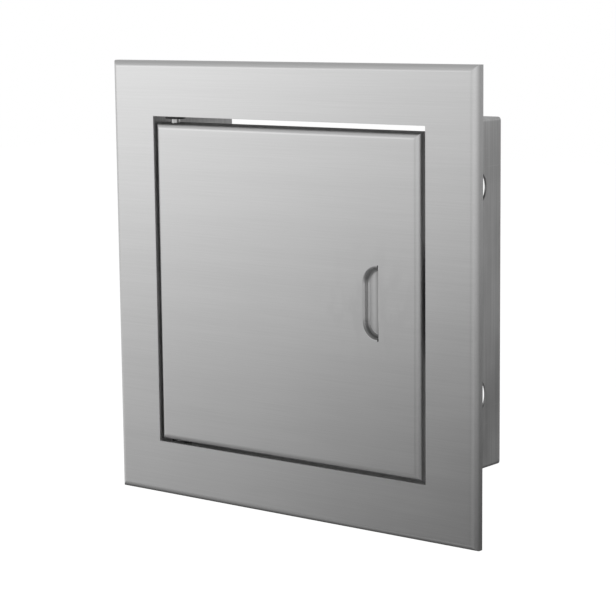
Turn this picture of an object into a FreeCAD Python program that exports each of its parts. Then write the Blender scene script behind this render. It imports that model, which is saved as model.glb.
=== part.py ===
"""Access panel: a flush hinged door in a sheet-steel frame with a wall box behind it.

The frame's rim lies against the wall and the box goes into the wall. X runs to the right, Y into
the wall and Z up. The origin is the middle of the opening, in the plane of the wall.
"""
import FreeCAD, Part
import math
import os
import Sketcher
from FreeCAD import Rotation, Vector

SIZES = {
    # face frame
    "frame_width": 200.0,
    "frame_height": 200.0,
    "opening_width": 150.0,
    "opening_height": 150.0,
    "lip_depth": 5.0,
    "frame_sheet": 1.0,
    "frame_inner_bend": 2.0,
    # wall box
    "box_depth": 50.0,
    "box_sheet": 1.0,
    "box_inner_bend": 0.5,
    "weld_flange": 14.0,
    "corner_relief": 4.0,
    "side_hole_diameter": 16.0,
    "side_hole_spacing": 90.0,
    "side_hole_setback": 31.0,
    "side_hole_rise": 1.8,
    "seam_tab_width": 14.0,
    "seam_tab_length": 32.0,
    "seam_tab_setback": 28.0,
    "seam_rivet_diameter": 3.2,
    "seam_rivet_spacing": 18.0,
    "seam_rivet_inset": 8.0,
    "rivet_head_diameter": 6.0,
    "rivet_head_height": 1.1,
    "rivet_tail_diameter": 4.5,
    "rivet_tail_tip": 2.2,
    "rivet_tail_height": 1.4,
    # door leaf
    "hinge_gap": 1.0,
    "free_gap": 3.0,
    "top_gap": 3.0,
    "bottom_gap": 1.0,
    "door_sheet": 1.0,
    "door_inner_bend": 1.8,
    "door_return": 11.0,
    # finger pull
    "pull_width": 6.8,
    "pull_height": 29.4,
    "pull_radius": 6.4,
    "pull_depth": 2.6,
    "pull_inset": 21.5,
    "pull_rise": 0.7,
    "pull_slit": 0.3,
    "pull_slit_overrun": 0.3,
    "pull_rim_bend": 0.2,
    "pull_floor_bend": 1.2,
    "pull_edge_roll": 0.6,
    # pivots
    "pivot_inset": 8.7,
    "pivot_setback": 5.5,
    "pin_diameter": 4.0,
    "pin_overrun": 1.5,
    "pin_chamfer": 0.6,
    "running_clearance": 0.05,
    "rim_hole_clearance": 0.4,
    "seat_clearance": 0.1,
    "bush_neck_diameter": 5.4,
    "bush_flange_diameter": 9.0,
    "upper_bush_flange": 1.2,
    "lower_bush_flange": 0.6,
    "bush_snap_diameter": 5.9,
    "bush_snap_height": 1.2,
    # brackets on the back of the door
    "bracket_sheet": 1.2,
    "bracket_inner_bend": 0.6,
    "bracket_edge_gap": 2.4,
    "bracket_reach": 16.0,
    "bracket_step": 3.0,
    "bracket_corner": 2.0,
    "ear_radius": 4.0,
    "guide_height": 24.0,
    "lug_height": 20.0,
    "bracket_stud_offset": 10.8,
    "guide_stud_spacing": 10.0,
    "lug_stud_spacing": 7.0,
    "stud_diameter": 3.0,
    "stud_overrun": 0.6,
    "stud_clearance": 0.1,
    "nut_across_flats": 5.5,
    "nut_thickness": 2.4,
    # drawn-back upper pin
    "tail_drop": 8.0,
    "tail_bend": 5.0,
    "tail_reach": 14.0,
    "clip_diameter": 5.2,
    "clip_thickness": 0.6,
    "clip_mouth": 2.4,
    "clip_groove_diameter": 3.2,
    "washer_diameter": 5.6,
    "washer_thickness": 0.5,
    "spring_wire": 0.5,
    "spring_diameter": 5.2,
    "spring_turns": 7.0,
    # lower pin
    "shoulder_diameter": 5.6,
    "pin_rivet_diameter": 5.2,
    "pin_rivet_height": 0.9,
    # magnetic catch
    "catch_gap": 0.8,
    "catch_depth": 14.0,
    "catch_width": 30.0,
    "catch_ear": 9.0,
    "catch_ear_thickness": 2.0,
    "catch_ear_corner": 3.0,
    "catch_edge": 0.8,
    "catch_reach": 18.0,
    "catch_stack_inset": 12.0,
    "catch_cavity_depth": 10.0,
    "catch_clearance": 0.1,
    "magnet_thickness": 5.0,
    "magnet_recess": 0.6,
    "pole_thickness": 1.5,
    "pole_length": 24.0,
    "screw_diameter": 3.0,
    "screw_spacing": 39.0,
    "screw_head_diameter": 5.6,
    "screw_head_top": 3.6,
    "screw_head_height": 2.0,
    "screw_overrun": 4.0,
    # strike plate
    "strike_width": 10.0,
    "strike_length": 56.0,
    "strike_thickness": 1.5,
    "strike_corner": 2.0,
    "strike_inner_bend": 0.8,
    "strike_bridge": 34.0,
    "strike_below_rim": 1.0,
    "strike_stud_spacing": 46.0,
}

# Places that several pieces share, written as expressions on the sheet.
FRONT_Y = "(-sizes.lip_depth)"
BOX_FRONT_Y = f"({FRONT_Y} + sizes.frame_sheet)"
DOOR_BACK_Y = f"({FRONT_Y} + sizes.door_sheet)"
DOOR_RIM_Y = f"({FRONT_Y} + sizes.door_return)"
DOOR_WIDTH = "(sizes.opening_width - sizes.hinge_gap - sizes.free_gap)"
DOOR_HEIGHT = "(sizes.opening_height - sizes.top_gap - sizes.bottom_gap)"
DOOR_X = "((sizes.hinge_gap - sizes.free_gap) / 2)"
DOOR_Z = "((sizes.bottom_gap - sizes.top_gap) / 2)"
DOOR_TOP_Z = "(sizes.opening_height / 2 - sizes.top_gap)"
DOOR_LOW_Z = "(sizes.bottom_gap - sizes.opening_height / 2)"
BOX_WIDTH = "(sizes.opening_width + 2 * sizes.box_sheet)"
BOX_HEIGHT = "(sizes.opening_height + 2 * sizes.box_sheet)"
PIVOT_X = "(sizes.pivot_inset - sizes.opening_width / 2)"
PIVOT_Y = f"({FRONT_Y} + sizes.pivot_setback)"
PULL_X = f"({DOOR_X} + {DOOR_WIDTH} / 2 - sizes.pull_inset)"
PULL_Z = f"({DOOR_Z} + sizes.pull_rise)"
PIN_RADIUS = "(sizes.pin_diameter / 2)"
PIN_HOLE_RADIUS = f"({PIN_RADIUS} + sizes.running_clearance)"
PIN_TOP_Z = f"({BOX_HEIGHT} / 2 + sizes.pin_overrun)"
BRACKET_TOP_Z = f"({DOOR_TOP_Z} - sizes.bracket_edge_gap)"
GUIDE_LOW_Z = f"({BRACKET_TOP_Z} - sizes.guide_height)"
EAR_UNDER_Z = f"({BRACKET_TOP_Z} - sizes.bracket_sheet)"
CLIP_TOP_Z = f"({EAR_UNDER_Z} - sizes.seat_clearance)"
WASHER_TOP_Z = f"({CLIP_TOP_Z} - sizes.clip_thickness)"
SPRING_TOP_Z = f"({WASHER_TOP_Z} - sizes.washer_thickness)"
SPRING_LOW_Z = f"({GUIDE_LOW_Z} + sizes.bracket_sheet)"
TAIL_Z = f"({GUIDE_LOW_Z} - sizes.tail_drop)"
STUD_X = f"({PIVOT_X} + sizes.bracket_stud_offset)"
GUIDE_MID_Z = f"({BRACKET_TOP_Z} - sizes.guide_height / 2)"
LUG_LOW_Z = f"({DOOR_LOW_Z} + sizes.bracket_edge_gap)"
LUG_EAR_TOP_Z = f"({LUG_LOW_Z} + sizes.bracket_sheet)"
LUG_MID_Z = f"({LUG_LOW_Z} + sizes.lug_height / 2)"
WALL_X = "(sizes.opening_width / 2)"
CATCH_FRONT_Y = f"({DOOR_RIM_Y} + sizes.catch_gap)"
CATCH_MID_Y = f"({CATCH_FRONT_Y} + sizes.catch_depth / 2)"
STACK_X = f"({WALL_X} - sizes.catch_stack_inset)"
STRIKE_BACK_Y = f"({DOOR_RIM_Y} - sizes.strike_below_rim)"
BRACKET_BACK_Y = f"({DOOR_BACK_Y} + sizes.bracket_sheet)"
STUD_HOLE = "(sizes.stud_diameter + 2 * sizes.stud_clearance)"

SAME_PLACE = 1e-4
SAMPLES_PER_HALF_TURN = 24
TURNS = {
    "up": Rotation(),
    "down": Rotation(Vector(1, 0, 0), 180),
    "right": Rotation(Vector(0, 1, 0), 90),
    "left": Rotation(Vector(0, 1, 0), -90),
    "back": Rotation(Vector(1, 0, 0), -90),
}

doc = FreeCAD.newDocument("access_panel")
sheet = doc.addObject("Spreadsheet::Sheet", "sizes")
for row, (alias, size) in enumerate(SIZES.items(), start=1):
    sheet.set(f"A{row}", alias)
    sheet.set(f"B{row}", str(size))
    sheet.setAlias(f"B{row}", alias)
doc.recompute()


def number(expression):
    """The value of an expression on the sheet, in millimetres."""
    return float(sheet.evalExpression(expression))


def new_body(label):
    body = doc.addObject("PartDesign::Body", label)
    body.Label = label
    return body


def sketch_on(body, plane, along="0", right="0", up="0"):
    """Empty sketch on an origin plane, its origin moved along the normal, right and up."""
    support = next(feature for feature in body.Origin.OriginFeatures if feature.Role == plane)
    sketch = body.newObject("Sketcher::SketchObject", body.Label + "_sketch")
    sketch.AttachmentSupport = (support, [""])
    sketch.MapMode = "FlatFace"
    for axis, amount in (("x", right), ("y", up), ("z", along)):
        sketch.setExpression("AttachmentOffset.Base." + axis, amount)
    return sketch


def facing_sketch(body, depth, right="0", up="0"):
    """Sketch parallel to the door, at a depth along Y."""
    return sketch_on(body, "XZ_Plane", f"-({depth})", right, up)


def hold(sketch, expression, *constraint):
    """Add a dimension that follows an expression."""
    index = sketch.addConstraint(Sketcher.Constraint(*constraint, number(expression)))
    sketch.setExpression(f"Constraints[{index}]", expression)


def join_loop(sketch, joints):
    for kind, one, end, other, start in joints:
        sketch.addConstraint(Sketcher.Constraint(kind, one, end, other, start))


def add_rectangle(sketch, width, height):
    """Rectangle centred on the sketch's origin."""
    first = sketch.GeometryCount
    half_width, half_height = number(width) / 2, number(height) / 2
    signs = ((-1, -1), (1, -1), (1, 1), (-1, 1))
    corners = [Vector(right * half_width, up * half_height) for right, up in signs]
    for i in range(4):
        sketch.addGeometry(Part.LineSegment(corners[i], corners[(i + 1) % 4]))
    join_loop(sketch, [("Coincident", first + i, 2, first + (i + 1) % 4, 1) for i in range(4)])
    for i in range(4):
        sketch.addConstraint(Sketcher.Constraint("Horizontal" if i % 2 == 0 else "Vertical", first + i))
    sketch.addConstraint(Sketcher.Constraint("Symmetric", first, 1, first + 1, 2, -1, 1))
    hold(sketch, width, "DistanceX", first, 1, first, 2)
    hold(sketch, height, "DistanceY", first + 1, 1, first + 1, 2)


def add_circle(sketch, diameter):
    """Circle centred on the sketch's origin."""
    first = sketch.addGeometry(Part.Circle(Vector(), Vector(0, 0, 1), number(diameter) / 2))
    sketch.addConstraint(Sketcher.Constraint("Coincident", first, 3, -1, 1))
    hold(sketch, diameter, "Diameter", first)


def add_circle_pair(sketch, diameter, spacing, axis):
    """Two equal circles on the sketch's horizontal or vertical axis, one each side of its origin."""
    step = Vector(number(spacing) / 2, 0) if axis == "horizontal" else Vector(0, number(spacing) / 2)
    radius = number(diameter) / 2
    low = sketch.addGeometry(Part.Circle(-step, Vector(0, 0, 1), radius))
    high = sketch.addGeometry(Part.Circle(step, Vector(0, 0, 1), radius))
    axis_line = -1 if axis == "horizontal" else -2
    sketch.addConstraint(Sketcher.Constraint("PointOnObject", low, 3, axis_line))
    sketch.addConstraint(Sketcher.Constraint("Symmetric", low, 3, high, 3, -1, 1))
    sketch.addConstraint(Sketcher.Constraint("Equal", low, high))
    hold(sketch, diameter, "Diameter", low)
    hold(sketch, spacing, "DistanceX" if axis == "horizontal" else "DistanceY", low, 3, high, 3)


def add_pull_outline(sketch, grow):
    """D shape: straight on the sketch's vertical axis, rounded to the left of it."""
    width = f"(sizes.pull_width + {grow})"
    radius = f"(sizes.pull_radius + {grow})"
    straight = "(sizes.pull_height - 2 * sizes.pull_radius)"
    reach, bend, half = number(width), number(radius), number(straight) / 2
    sweep = math.acos((reach - bend) / bend)
    side = sketch.addGeometry(Part.LineSegment(Vector(-reach, -half), Vector(-reach, half)))
    arcs = []
    for level, start, end in ((half, sweep, math.pi), (-half, math.pi, 2 * math.pi - sweep)):
        circle = Part.Circle(Vector(bend - reach, level), Vector(0, 0, 1), bend)
        arcs.append(sketch.addGeometry(Part.ArcOfCircle(circle, start, end)))
    top, low = arcs
    end_height = half + bend * math.sin(sweep)
    edge = sketch.addGeometry(Part.LineSegment(Vector(0, end_height), Vector(0, -end_height)))
    join_loop(
        sketch,
        [
            ("Tangent", side, 2, top, 2),
            ("Tangent", low, 1, side, 1),
            ("Coincident", top, 1, edge, 1),
            ("Coincident", low, 2, edge, 2),
        ],
    )
    sketch.addConstraint(Sketcher.Constraint("PointOnObject", edge, 1, -2))
    sketch.addConstraint(Sketcher.Constraint("PointOnObject", edge, 2, -2))
    sketch.addConstraint(Sketcher.Constraint("Symmetric", side, 1, side, 2, -1))
    sketch.addConstraint(Sketcher.Constraint("Equal", top, low))
    hold(sketch, radius, "Radius", top)
    hold(sketch, straight, "DistanceY", side, 1, side, 2)
    hold(sketch, width, "DistanceX", side, 1, -1, 1)


def add_ear_outline(sketch, radius, root):
    """Bracket ear: round about the sketch's origin, straight down to its root."""
    r, low = number(radius), -number(root)
    arc = sketch.addGeometry(Part.ArcOfCircle(Part.Circle(Vector(), Vector(0, 0, 1), r), 0, math.pi))
    left = sketch.addGeometry(Part.LineSegment(Vector(-r, 0), Vector(-r, low)))
    base = sketch.addGeometry(Part.LineSegment(Vector(-r, low), Vector(r, low)))
    right = sketch.addGeometry(Part.LineSegment(Vector(r, low), Vector(r, 0)))
    sketch.addConstraint(Sketcher.Constraint("Coincident", arc, 3, -1, 1))
    join_loop(
        sketch,
        [
            ("Tangent", arc, 2, left, 1),
            ("Coincident", left, 2, base, 1),
            ("Coincident", base, 2, right, 1),
            ("Tangent", right, 2, arc, 1),
        ],
    )
    sketch.addConstraint(Sketcher.Constraint("Vertical", left))
    sketch.addConstraint(Sketcher.Constraint("Horizontal", base))
    hold(sketch, radius, "Radius", arc)
    hold(sketch, root, "DistanceY", base, 1, -1, 1)


def pad(body, sketch, length, reverse=False):
    feature = body.newObject("PartDesign::Pad", body.Label + "_pad")
    feature.Profile = sketch
    feature.Reversed = reverse
    feature.setExpression("Length", length)
    return feature


def pocket(body, sketch, length=None, reverse=False):
    """Cut the sketch to a length, or right through both ways, and make sure that it cut."""
    doc.recompute()
    before = body.Shape.Volume
    feature = body.newObject("PartDesign::Pocket", body.Label + "_pocket")
    feature.Profile = sketch
    feature.Reversed = reverse
    if length is None:
        feature.Type = "ThroughAll"
        feature.SideType = "Symmetric"
    else:
        feature.setExpression("Length", length)
    doc.recompute()
    if body.Shape.Volume > before - SAME_PLACE:
        raise RuntimeError(f"a pocket of {body.Label} cuts nothing")
    return feature


def round_edges(body, radius, chosen):
    """Fillet the edges of the body's solid that chosen picks."""
    doc.recompute()
    base = body.Tip
    names = [f"Edge{i}" for i, edge in enumerate(base.Shape.Edges, start=1) if chosen(edge.BoundBox)]
    feature = body.newObject("PartDesign::Fillet", body.Label + "_fillet")
    feature.Base = (base, names)
    feature.setExpression("Radius", radius)
    doc.recompute()
    return feature


def at(low, high, expression):
    """True where a box from low to high is flat at the expression's value."""
    level = number(expression)
    return abs(low - level) < SAME_PLACE and abs(high - level) < SAME_PLACE


def at_x(box, expression):
    return at(box.XMin, box.XMax, expression)


def at_y(box, expression):
    return at(box.YMin, box.YMax, expression)


def at_z(box, expression):
    return at(box.ZMin, box.ZMax, expression)


def along_x(box):
    return box.YLength < SAME_PLACE and box.ZLength < SAME_PLACE


def along_y(box):
    return box.XLength < SAME_PLACE and box.ZLength < SAME_PLACE


def along_z(box):
    return box.XLength < SAME_PLACE and box.YLength < SAME_PLACE


def rounded_block(label, width, height, rear_y, depth, bend, right, up):
    """Block whose four front edges are rounded and meet in mitres."""
    body = new_body(label)
    outline = facing_sketch(body, rear_y, right, up)
    add_rectangle(outline, width, height)
    pad(body, outline, depth)
    round_edges(body, bend, lambda box: at_y(box, f"{rear_y} - {depth}"))
    return body


def tray(label, width, height, rim_y, depth, sheet_size, inner_bend, right="0", up="0"):
    """Sheet pressed as a shallow tray: a flat front with its rim folded back, open at the rear."""
    body = rounded_block(label, width, height, rim_y, depth, f"{inner_bend} + {sheet_size}", right, up)
    inner_width, inner_height = (f"({size} - 2 * {sheet_size})" for size in (width, height))
    inner_depth = f"({depth} - {sheet_size})"
    cavity = rounded_block(
        label + "_cavity", inner_width, inner_height, rim_y, inner_depth, inner_bend, right, up
    )
    hollow = body.newObject("PartDesign::Boolean", label + "_hollow")
    hollow.Type = "Cut"
    hollow.addObjects([cavity])
    doc.recompute()
    return body


def place(solid, position, turn="up"):
    solid.Placement = FreeCAD.Placement(Vector(), TURNS[turn])
    for axis, amount in zip("xyz", position):
        solid.setExpression("Placement.Base." + axis, amount)
    return solid


def primitive(kind, sizes, position, turn="up"):
    """Part primitive with its sizes and its place bound to the sheet."""
    solid = doc.addObject("Part::" + kind, kind.lower())
    for name, expression in sizes.items():
        solid.setExpression(name, expression)
    return place(solid, position, turn)


def cylinder(radius, height, position, turn="up"):
    return primitive("Cylinder", {"Radius": radius, "Height": height}, position, turn)


def cone(low_radius, high_radius, height, position, turn="up"):
    sizes = {"Radius1": low_radius, "Radius2": high_radius, "Height": height}
    return primitive("Cone", sizes, position, turn)


def block(width, depth, height, middle):
    """Box given by its middle."""
    corner = [f"({m} - {size} / 2)" for m, size in zip(middle, (width, depth, height))]
    return primitive("Box", {"Length": width, "Width": depth, "Height": height}, corner)


def fuse(label, solids):
    whole = doc.addObject("Part::MultiFuse", label)
    whole.Label = label
    whole.Shapes = solids
    return whole


def cut(label, base, tool):
    whole = doc.addObject("Part::Cut", label)
    whole.Label = label
    whole.Base = base
    whole.Tool = tool
    return whole


def group(label, solids):
    """Like fasteners that share one node."""
    whole = doc.addObject("Part::Compound", label)
    whole.Label = label
    whole.Links = solids
    return whole


def face_frame():
    """Square frame: a pressed tray with its opening cut out."""
    body = tray(
        "face_frame",
        "sizes.frame_width",
        "sizes.frame_height",
        "0",
        "sizes.lip_depth",
        "sizes.frame_sheet",
        "sizes.frame_inner_bend",
    )
    opening = facing_sketch(body, "0")
    add_rectangle(opening, "sizes.opening_width", "sizes.opening_height")
    pocket(body, opening)
    return body


def wall_box():
    """Strip folded into a square collar, with flanges behind the frame and a riveted lap seam."""
    body = new_body("wall_box")
    outer_bend = "(sizes.box_inner_bend + sizes.box_sheet)"
    collar = facing_sketch(body, BOX_FRONT_Y)
    add_rectangle(collar, BOX_WIDTH, BOX_HEIGHT)
    pad(body, collar, f"sizes.box_depth - {BOX_FRONT_Y}", reverse=True)
    round_edges(body, outer_bend, along_y)

    # Each wall folds out into a flange against the frame, and the flanges stop short of the corners.
    for width, height in (
        ("(sizes.opening_width - 2 * sizes.corner_relief)", f"({BOX_HEIGHT} + 2 * sizes.weld_flange)"),
        (f"({BOX_WIDTH} + 2 * sizes.weld_flange)", "(sizes.opening_height - 2 * sizes.corner_relief)"),
    ):
        flange = facing_sketch(body, BOX_FRONT_Y)
        add_rectangle(flange, width, height)
        pad(body, flange, "sizes.box_sheet", reverse=True)
    fold_y = f"({BOX_FRONT_Y} + sizes.box_sheet)"
    half_width, half_height = number(BOX_WIDTH) / 2, number(BOX_HEIGHT) / 2

    def at_a_fold(box):
        beside = along_z(box) and abs(abs(box.XMin) - half_width) < SAME_PLACE
        level = along_x(box) and abs(abs(box.ZMin) - half_height) < SAME_PLACE
        return at_y(box, fold_y) and (beside or level)

    round_edges(body, "sizes.box_inner_bend", at_a_fold)
    passage = facing_sketch(body, "0")
    add_rectangle(passage, "sizes.opening_width", "sizes.opening_height")
    pocket(body, passage)
    inner_x, inner_z = number("sizes.opening_width / 2"), number("sizes.opening_height / 2")

    def in_a_corner(box):
        beside = abs(abs(box.XMin) - inner_x) < SAME_PLACE
        return along_y(box) and beside and abs(abs(box.ZMin) - inner_z) < SAME_PLACE

    round_edges(body, "sizes.box_inner_bend", in_a_corner)

    # The strip closes at the lower left: the end of the left wall laps under the bottom.
    floor_z = f"(-{BOX_HEIGHT} / 2)"
    left_x = f"(-{BOX_WIDTH} / 2)"
    tab_x = f"({left_x} + sizes.seam_tab_width / 2)"
    tab = sketch_on(body, "XY_Plane", floor_z, tab_x, "sizes.seam_tab_setback")
    add_rectangle(tab, "sizes.seam_tab_width", "sizes.seam_tab_length")
    pad(body, tab, "sizes.box_sheet", reverse=True)
    corner_x = f"({left_x} + sizes.box_sheet / 2)"
    corner = sketch_on(body, "XY_Plane", floor_z, corner_x, "sizes.seam_tab_setback")
    add_rectangle(corner, "sizes.box_sheet", "sizes.seam_tab_length")
    pad(body, corner, outer_bend)
    round_edges(
        body,
        outer_bend,
        lambda box: along_y(box) and at_x(box, left_x) and at_z(box, f"{floor_z} - sizes.box_sheet"),
    )
    rivet_x = f"({left_x} + sizes.seam_rivet_inset)"
    seam_holes = sketch_on(body, "XY_Plane", floor_z, rivet_x, "sizes.seam_tab_setback")
    add_circle_pair(seam_holes, "sizes.seam_rivet_diameter", "sizes.seam_rivet_spacing", "vertical")
    for upward in (False, True):
        pocket(body, seam_holes, "sizes.box_sheet", reverse=upward)

    side_holes = sketch_on(body, "YZ_Plane", right="sizes.side_hole_setback", up="sizes.side_hole_rise")
    add_circle_pair(side_holes, "sizes.side_hole_diameter", "sizes.side_hole_spacing", "vertical")
    pocket(body, side_holes)
    bush_holes = sketch_on(body, "XY_Plane", right=PIVOT_X, up=PIVOT_Y)
    add_circle(bush_holes, "(sizes.bush_neck_diameter + 2 * sizes.running_clearance)")
    pocket(body, bush_holes)
    screw_holes = sketch_on(body, "YZ_Plane", WALL_X, CATCH_MID_Y)
    screw_hole = "(sizes.screw_diameter + 2 * sizes.running_clearance)"
    add_circle_pair(screw_holes, screw_hole, "sizes.screw_spacing", "vertical")
    pocket(body, screw_holes, "2 * sizes.box_sheet", reverse=True)
    return body


def seam_rivets():
    """Blind rivets of the lap seam, with their heads under the box."""
    head_z = f"(-{BOX_HEIGHT} / 2 - sizes.box_sheet)"
    grip = "(2 * sizes.box_sheet)"
    shank = "(sizes.seam_rivet_diameter / 2)"
    x = f"(sizes.seam_rivet_inset - {BOX_WIDTH} / 2)"
    rivets = []
    for side in ("-", "+"):
        y = f"(sizes.seam_tab_setback {side} sizes.seam_rivet_spacing / 2)"
        low = (x, y, head_z)
        high = (x, y, f"({head_z} + {grip})")
        head = cone("sizes.rivet_head_diameter / 2", shank, "sizes.rivet_head_height", low, "down")
        stem = cylinder(shank, grip, low)
        bulb = cone(
            "sizes.rivet_tail_diameter / 2", "sizes.rivet_tail_tip / 2", "sizes.rivet_tail_height", high
        )
        rivets.append(fuse("seam_rivet", [head, stem, bulb]))
    return group("seam_rivets", rivets)


def door_leaf():
    """Door pressed as a shallow tray, with the finger pull lanced and pushed in near its free edge."""
    body = tray(
        "door_leaf",
        DOOR_WIDTH,
        DOOR_HEIGHT,
        DOOR_RIM_Y,
        "sizes.door_return",
        "sizes.door_sheet",
        "sizes.door_inner_bend",
        DOOR_X,
        DOOR_Z,
    )

    floor_y = f"({FRONT_Y} + sizes.pull_depth)"
    floor_back_y = f"({floor_y} + sizes.door_sheet)"
    slit_x = f"({PULL_X} - sizes.pull_slit)"
    form = facing_sketch(body, DOOR_BACK_Y, PULL_X, PULL_Z)
    add_pull_outline(form, "sizes.door_sheet")
    pad(body, form, "sizes.pull_depth", reverse=True)
    recess = facing_sketch(body, FRONT_Y, PULL_X, PULL_Z)
    add_pull_outline(recess, "0")
    pocket(body, recess, "sizes.pull_depth")
    slit = facing_sketch(body, FRONT_Y, f"{PULL_X} - sizes.pull_slit / 2", PULL_Z)
    rim_bend = "(sizes.pull_rim_bend + sizes.door_sheet)"
    slit_height = f"(sizes.pull_height + 2 * {rim_bend} + 2 * sizes.pull_slit_overrun)"
    add_rectangle(slit, "sizes.pull_slit", slit_height)
    pocket(body, slit, "sizes.pull_depth + 2 * sizes.door_sheet")

    # The four bends of the pressing run round the D and stop at the slit.
    left = number(f"{PULL_X} - sizes.pull_width - sizes.door_sheet") - SAME_PLACE
    middle = number(PULL_Z)
    half = number("sizes.pull_height / 2 + sizes.door_sheet") + SAME_PLACE

    def round_the_pull(box, depth):
        inside = box.XMin > left and max(box.ZMax - middle, middle - box.ZMin) < half
        return at_y(box, depth) and inside and box.XMax < number(PULL_X) and not at_x(box, slit_x)

    for depth, radius in (
        (floor_y, "sizes.pull_floor_bend"),
        (floor_back_y, "sizes.pull_floor_bend + sizes.door_sheet"),
        (FRONT_Y, rim_bend),
        (DOOR_BACK_Y, "sizes.pull_rim_bend"),
    ):
        round_edges(body, radius, lambda box: round_the_pull(box, depth))

    # The punch rolls the edge of the face over along the slit.
    round_edges(
        body,
        "sizes.pull_edge_roll",
        lambda box: along_z(box) and at_y(box, FRONT_Y) and at_x(box, PULL_X),
    )

    # The rim is bored above and below where the pivots pass.
    for level, cut_up, radius in (
        (DOOR_TOP_Z, False, PIN_RADIUS),
        (DOOR_LOW_Z, True, "sizes.shoulder_diameter / 2"),
    ):
        bore = sketch_on(body, "XY_Plane", level, PIVOT_X, PIVOT_Y)
        add_circle(bore, f"2 * ({radius} + sizes.rim_hole_clearance)")
        pocket(body, bore, "2 * sizes.door_sheet", reverse=cut_up)
    return body


def hinge_bracket(label, middle_z, height, ear_levels, stud_spacing):
    """Folded bracket on the back of the door: a stud plate with ears about the pivot."""
    body = new_body(label)
    column = facing_sketch(body, DOOR_BACK_Y, PIVOT_X, middle_z)
    add_rectangle(column, "(2 * sizes.ear_radius)", height)
    pad(body, column, "sizes.bracket_sheet", reverse=True)
    plate = facing_sketch(body, DOOR_BACK_Y, f"{PIVOT_X} + sizes.bracket_reach / 2", middle_z)
    add_rectangle(plate, "sizes.bracket_reach", f"({height} - 2 * sizes.bracket_step)")
    pad(body, plate, "sizes.bracket_sheet", reverse=True)
    round_edges(
        body,
        "sizes.bracket_corner",
        lambda box: along_y(box) and at_x(box, f"{PIVOT_X} + sizes.bracket_reach"),
    )
    outer_bend = "(sizes.bracket_inner_bend + sizes.bracket_sheet)"
    for outer_z, inner_z in ear_levels:
        ear = sketch_on(body, "XY_Plane", outer_z, PIVOT_X, PIVOT_Y)
        add_ear_outline(ear, "sizes.ear_radius", f"({PIVOT_Y} - {DOOR_BACK_Y})")
        pad(body, ear, "sizes.bracket_sheet", reverse=number(inner_z) < number(outer_z))
        round_edges(
            body,
            "sizes.bracket_inner_bend",
            lambda box: along_x(box) and at_y(box, BRACKET_BACK_Y) and at_z(box, inner_z),
        )
        round_edges(
            body,
            outer_bend,
            lambda box: along_x(box) and at_y(box, DOOR_BACK_Y) and at_z(box, outer_z),
        )
    pin_hole = sketch_on(body, "XY_Plane", middle_z, PIVOT_X, PIVOT_Y)
    add_circle(pin_hole, f"2 * {PIN_HOLE_RADIUS}")
    pocket(body, pin_hole)
    stud_holes = facing_sketch(body, DOOR_BACK_Y, STUD_X, middle_z)
    add_circle_pair(stud_holes, STUD_HOLE, stud_spacing, "vertical")
    pocket(body, stud_holes, "2 * sizes.bracket_sheet")
    return body


def pin_guide():
    """Bracket with two ears in which the upper pin slides."""
    return hinge_bracket(
        "pin_guide",
        GUIDE_MID_Z,
        "sizes.guide_height",
        [(BRACKET_TOP_Z, EAR_UNDER_Z), (GUIDE_LOW_Z, SPRING_LOW_Z)],
        "sizes.guide_stud_spacing",
    )


def lower_hinge_lug():
    """Bracket with one ear that holds the lower pin."""
    return hinge_bracket(
        "lower_hinge_lug",
        LUG_MID_Z,
        "sizes.lug_height",
        [(LUG_LOW_Z, LUG_EAR_TOP_Z)],
        "sizes.lug_stud_spacing",
    )


def studs_and_nuts(stud_label, nut_label, seats, plate, x):
    """Weld studs on the back of the door, and the nuts that hold a plate on them."""
    studs = []
    nuts = []
    length = f"({plate} + sizes.nut_thickness + sizes.stud_overrun)"
    nut_y = f"({DOOR_BACK_Y} + {plate})"
    thread = "(sizes.stud_diameter / 2)"
    corner = "(sizes.nut_across_flats / sqrt(3))"
    for z in seats:
        studs.append(cylinder(thread, length, (x, DOOR_BACK_Y, z), "back"))
        hexagon = doc.addObject("Part::Prism", "hexagon")
        hexagon.Polygon = 6
        hexagon.setExpression("Circumradius", corner)
        hexagon.setExpression("Height", "sizes.nut_thickness")
        place(hexagon, (x, nut_y, z), "back")
        bore_radius = f"({thread} + sizes.running_clearance)"
        bore = cylinder(bore_radius, "sizes.nut_thickness", (x, nut_y, z), "back")
        nuts.append(cut("nut", hexagon, bore))
    return [group(stud_label, studs), group(nut_label, nuts)]


def pair(middle, spacing):
    return [f"({middle} {side} {spacing} / 2)" for side in ("-", "+")]


def hinge_fasteners():
    seats = pair(GUIDE_MID_Z, "sizes.guide_stud_spacing") + pair(LUG_MID_Z, "sizes.lug_stud_spacing")
    return studs_and_nuts("hinge_studs", "hinge_nuts", seats, "sizes.bracket_sheet", STUD_X)


def strike_fasteners():
    seats = pair("0", "sizes.strike_stud_spacing")
    return studs_and_nuts("strike_studs", "strike_nuts", seats, "sizes.strike_thickness", STACK_X)


def pivot_bush(label, wall_z, turn, thickness):
    """Plastic bush that snaps into the wall of the box: flange inside, barbed neck outside."""
    out = "+" if turn == "up" else "-"
    inside_z = f"({wall_z} {'-' if turn == 'up' else '+'} {thickness})"
    outside_z = f"({wall_z} {out} sizes.box_sheet)"
    neck = "(sizes.bush_neck_diameter / 2)"
    length = f"({thickness} + sizes.box_sheet + sizes.bush_snap_height)"
    axis = (PIVOT_X, PIVOT_Y)
    inside = (*axis, inside_z)
    flange = cylinder("sizes.bush_flange_diameter / 2", thickness, inside, turn)
    stem = cylinder(neck, length, inside, turn)
    barb = cone("sizes.bush_snap_diameter / 2", neck, "sizes.bush_snap_height", (*axis, outside_z), turn)
    bore = cylinder(PIN_HOLE_RADIUS, length, inside, turn)
    return cut(label, fuse(label + "_blank", [flange, stem, barb]), bore)


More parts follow.
